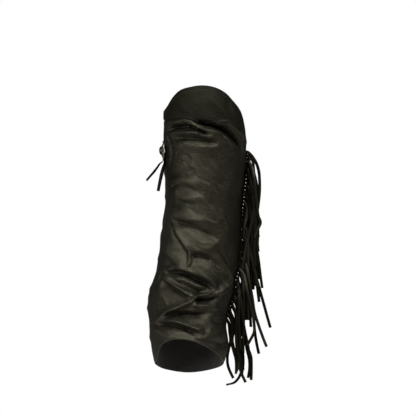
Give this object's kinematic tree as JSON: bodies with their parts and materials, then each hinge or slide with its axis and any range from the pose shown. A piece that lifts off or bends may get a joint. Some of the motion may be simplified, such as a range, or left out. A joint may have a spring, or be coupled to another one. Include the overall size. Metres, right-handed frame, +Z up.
{
  "type": "fringed half chap",
  "caption": "Black leather half chap in its worn hollow form: domed knee yoke, folded shin panel, fringe down the outer seam, and a laced concho.",
  "frame": {"origin": "middle of the wearer's leg just below the knee, inside the leather, where the thong draws it tight", "axes": "+Z up the leg, -Y to the front of the shin, +X to the outer side, where the fringe hangs"},
  "size_m": [0.2182, 0.191, 0.5213],
  "materials": {
    "black_leather": "semi-gloss",
    "black_fringe_leather": "satin",
    "black_thong_leather": "satin",
    "antique_nickel": "satin"
  },
  "bodies": {
    "root": {"front_panel": "black_leather", "yoke": "black_leather", "back_panel": "black_leather", "fringe": "black_fringe_leather", "concho": "antique_nickel", "thong_loop": "black_thong_leather", "thong_back": "black_thong_leather", "thong_front": "black_thong_leather"}
  },
  "joints": []
}
